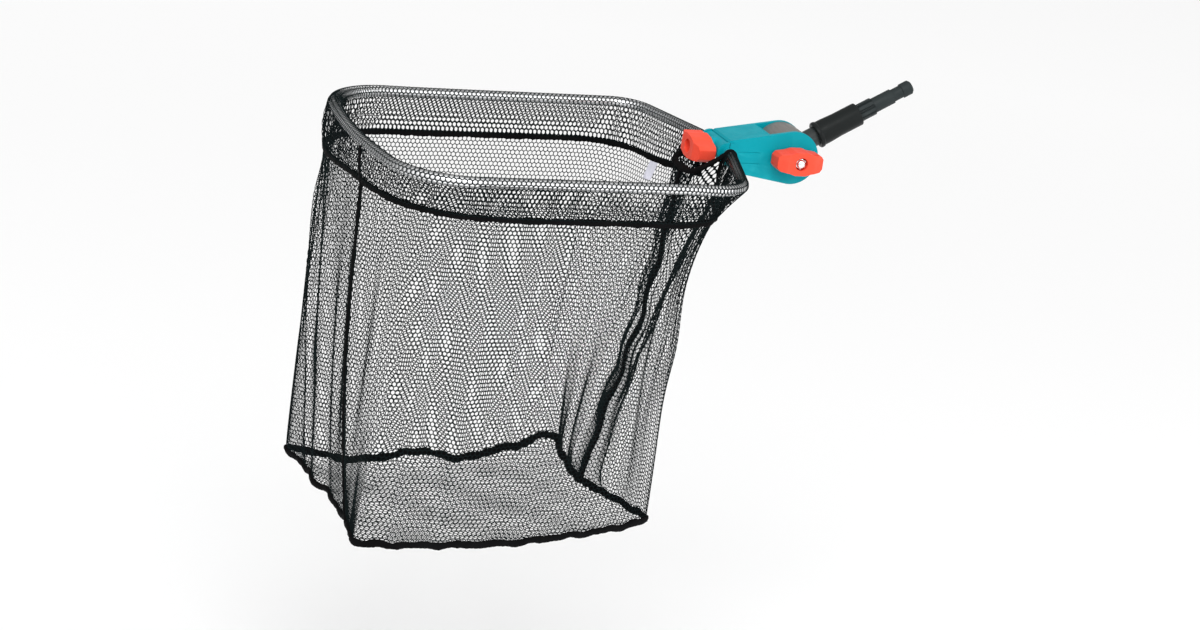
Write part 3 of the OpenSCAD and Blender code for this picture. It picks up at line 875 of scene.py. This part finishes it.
def inside_outline(points):
    """True where a point of the bottom panel lies inside the bottom seam."""
    outline = foot_points[::3, :2]
    after = np.roll(outline, -1, axis=0)
    x, y = points[:, 0][:, None], points[:, 1][:, None]
    crosses = (outline[:, 1] > y) != (after[:, 1] > y)
    rise = after[:, 1] - outline[:, 1]
    rise = np.where(np.abs(rise) < 1e-9, 1e-9, rise)
    at = outline[:, 0] + (y - outline[:, 1]) / rise * (after[:, 0] - outline[:, 0])
    return ((crosses & (x < at)).sum(1) % 2) == 1


def bottom():
    """Bottom panel, of the lattice cells that lie inside the bottom seam."""
    low, high = foot_points.min(0), foot_points.max(0)
    columns = (math.floor(low[0] / pitch), math.ceil(high[0] / pitch))
    rows = (math.floor(low[1] / row_pitch), math.ceil(high[1] / row_pitch))
    piece = net_piece("bottom_netting", columns, rows, floor_place, keep=inside_outline)
    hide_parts("net_bottom")


# ---------- pieces: seams ----------

def facing_out(c):
    _, normal = rim(c)
    return np.concatenate([normal, np.zeros((len(c), 1))], 1)


def band_seam():
    c = np.linspace(hem_start, loop_len - hem_start, 900)
    line, _, _ = band(c)
    piece = tape("band_tape", line, facing_out(c), seam_w, seam_t + 0.4, seed=2)
    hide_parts("band_seam")


def side_seams():
    """The two upright seams, from the band seam to the bottom seam."""
    t = np.linspace(0.0, 1.0, 200)
    for side, place, width, seed in (("near", 0.01, seam_w, 3), ("far", far_seam, seam_w * 0.65, 4)):
        c = np.full_like(t, place)
        piece = tape(side + "_side_tape", wall(c, t), facing_out(c), width, seam_t, seed=seed)
        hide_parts(side + "_side_seam")


def bottom_seam():
    c = np.linspace(0, loop_len, 1300)
    facing = facing_out(c) + [0, 0, -0.4]
    piece = tape("bottom_tape", foot(c), facing, bottom_seam_w, bottom_seam_t, closed=True, seed=5)
    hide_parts("bottom_seam")


def gap_binding():
    """Binding along the netting's edge in the hem's gap."""
    line = binding_line(np.mod(np.linspace(-hem_start, hem_start, 60), loop_len))
    up = np.tile([[-0.5, 0.0, 1.0]], (len(line), 1))
    piece = tape("gap_binding", line, up, binding_w, binding_t, seed=6)
    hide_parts("notch_binding")


def hem_joint():
    """The short upright seam that closes the hem at the far side."""
    rise = np.linspace(2, 33, 30)
    c = np.full_like(rise, far_seam)
    tape("hem_joint_tape", hem_surface(c, rise), facing_out(c), seam_w * 0.8, 2.4, seed=7)


def hem_cuffs():
    """Bindings around the two ends of the hem, beside the clamp."""
    cuff_w = 8.0
    cuff_t = 2.2
    cuff_middle = hem_start + cuff_w / 2
    over = np.linspace(1, hem_width - 1, 90)
    for name, c in (("front_cuff", cuff_middle), ("back_cuff", loop_len - cuff_middle)):
        line = hem_surface(np.full_like(over, c), over)
        _, normal = rim(np.array([c]))
        along = np.array([[-normal[0, 1], normal[0, 0], 0.0]])
        facing = np.cross(np.gradient(line, axis=0), along)
        tape(name, line, facing, cuff_w, cuff_t, seed=8)


def label_sheet(columns, rows):
    """Points of the label's front and back: a small sheet that hangs from the band seam inside
    the nose's back wall, and curls a little more towards its free end."""
    label_w = 13.0
    label_h = 19.0
    label_t = 0.5
    middle = loop_len - 98
    below_seam = 2.0
    inset = 3.0
    curl_depth = 1.2
    front, back = [], []
    for k in range(rows + 1):
        for m in range(columns + 1):
            c = np.array([middle + (m / columns - 0.5) * label_w])
            share = np.array([(below_seam + k / rows * label_h) / wall_height])
            spot = wall(c, share)[0]
            _, normal = rim(c)
            curl = curl_depth * math.sin(m / columns * math.pi) * (k / rows)
            inner = spot[:2] - normal[0] * (inset + curl)
            front.append((*inner, spot[2]))
            back.append((*(inner - normal[0] * label_t), spot[2]))
    return front, back


def label():
    """Small blank label."""
    columns = 14
    rows = 20
    front, back = label_sheet(columns, rows)
    count = len(front)
    wide = columns + 1
    faces = []
    for k in range(rows):
        for m in range(columns):
            a = k * wide + m
            faces.append([a, a + 1, a + 1 + wide, a + wide])
            faces.append([q + count for q in (a, a + wide, a + 1 + wide, a + 1)])
    top = list(range(wide))
    right = [wide * k + columns for k in range(1, rows + 1)]
    low = [wide * rows + m for m in range(columns - 1, -1, -1)]
    left = [wide * k for k in range(rows - 1, 0, -1)]
    border = top + right + low + left
    for a, b in zip(border, border[1:] + border[:1]):
        faces.append([a, a + count, b + count, b])
    piece = make_mesh("blank_label", front + back, faces, label_white)
    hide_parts("care_label")


hem()
walls()
bottom()
band_seam()
side_seams()
bottom_seam()
gap_binding()
hem_joint()
hem_cuffs()
label()


# ---------- stage, light and camera ----------

def pale_floor():
    """Large matt floor well below the hanging bag."""
    half = 30.0
    z = (CLAMP[2] + bag_floor) * MM - 0.30
    corners = [(-half, -half, z), (half, -half, z), (half, half, z), (-half, half, z)]
    mesh = bpy.data.meshes.new("pale_floor")
    mesh.from_pydata(corners, [], [(0, 1, 2, 3)])
    thing = bpy.data.objects.new("pale_floor", mesh)
    bpy.context.scene.collection.objects.link(thing)
    paint = Paint("pale_floor", (0.9, 0.9, 0.9), 0.9)
    paint.vary_colour(paint.curve(paint.noise(900, 3), 0.3, 0.7, 0, 0.2), (0.88, 0.88, 0.88))
    # beyond the key light's reach the floor is whiter, so that it stays even
    away = paint.node("ShaderNodeVectorMath", {0: paint.place}, operation="LENGTH").outputs["Value"]
    paint.vary_colour(paint.curve(away, 0.8, 3.5), (1.0, 1.0, 1.0))
    mesh.materials.append(paint.material)


def soft_light(name, place, size, power):
    """An area light at a place in metres around the clamp, aimed at the net's near half."""
    place = Vector(place) + Vector(CLAMP) * MM
    target = Vector((-0.15, 0.0, -0.1)) + Vector(CLAMP) * MM
    data = bpy.data.lights.new(name, "AREA")
    data.shape = "RECTANGLE"
    data.size = size[0]
    data.size_y = size[1]
    data.energy = power
    lamp = bpy.data.objects.new(name, data)
    lamp.location = place
    lamp.rotation_mode = "QUATERNION"
    lamp.rotation_quaternion = (target - place).to_track_quat("-Z", "Y")
    bpy.context.scene.collection.objects.link(lamp)


def ramp(tree, value, low, high, out_low, out_high):
    """A shader value mapped from low..high to out_low..out_high, and clipped."""
    node = tree.nodes.new("ShaderNodeMapRange")
    settings = {"From Min": low, "From Max": high, "To Min": out_low, "To Max": out_high}
    for key, setting in settings.items():
        node.inputs[key].default_value = setting
    tree.links.new(value, node.inputs["Value"])
    return node.outputs["Result"]


def studio():
    """A plain white backdrop for the camera. For the light, a soft dome that is brighter overhead
    and on the camera's side."""
    world = bpy.data.worlds.new("studio")
    bpy.context.scene.world = world
    world.use_nodes = True
    tree = world.node_tree
    seen = tree.nodes["Background"]
    seen.inputs["Strength"].default_value = 1.0
    seen.inputs["Color"].default_value = (1, 1, 1, 1)
    dome = tree.nodes.new("ShaderNodeBackground")
    place = tree.nodes.new("ShaderNodeTexCoord")
    split = tree.nodes.new("ShaderNodeSeparateXYZ")
    tree.links.new(place.outputs["Generated"], split.inputs[0])
    product = tree.nodes.new("ShaderNodeMath")
    product.operation = "MULTIPLY"
    tree.links.new(ramp(tree, split.outputs["Z"], -0.2, 0.8, 0.85, 1.4), product.inputs[0])
    tree.links.new(ramp(tree, split.outputs["Y"], -0.3, 0.7, 1.15, 0.45), product.inputs[1])
    tree.links.new(product.outputs[0], dome.inputs["Strength"])
    path = tree.nodes.new("ShaderNodeLightPath")
    mix = tree.nodes.new("ShaderNodeMixShader")
    tree.links.new(path.outputs["Is Camera Ray"], mix.inputs[0])
    tree.links.new(dome.outputs[0], mix.inputs[1])
    tree.links.new(seen.outputs[0], mix.inputs[2])
    tree.links.new(mix.outputs[0], tree.nodes["World Output"].inputs["Surface"])
    soft_light("key", (-0.9, -1.9, 2.0), (1.6, 1.2), 38)
    soft_light("fill", (1.6, -1.8, 0.7), (1.2, 1.2), 14)
    bpy.context.scene.view_settings.view_transform = "Standard"
    bpy.context.scene.view_settings.look = "None"


def camera():
    """Long lens, looking down on the net's mouth from the front, with the horizon tilted. The
    place is in metres around the clamp."""
    yaw = math.radians(-21.99)
    pitch_down = math.radians(17.45)
    roll = math.radians(-7.95)
    right = Vector((math.cos(yaw), math.sin(yaw), 0))
    level = Vector((math.sin(yaw), -math.cos(yaw), 0))
    back = level * math.cos(pitch_down) + Vector((0, 0, math.sin(pitch_down)))
    up = back.cross(right)
    x_axis = right * math.cos(roll) - up * math.sin(roll)
    y_axis = right * math.sin(roll) + up * math.cos(roll)
    data = bpy.data.cameras.new("camera")
    data.sensor_width = 36
    data.lens = 96.41
    lens = bpy.data.objects.new("camera", data)
    turn = Matrix((x_axis, y_axis, back)).transposed().to_4x4()
    place = Vector((-1.27820, -2.90974, 0.80307)) + Vector(CLAMP) * MM
    lens.matrix_world = Matrix.Translation(place) @ turn
    bpy.context.scene.collection.objects.link(lens)
    bpy.context.scene.camera = lens


pale_floor()
studio()
camera()
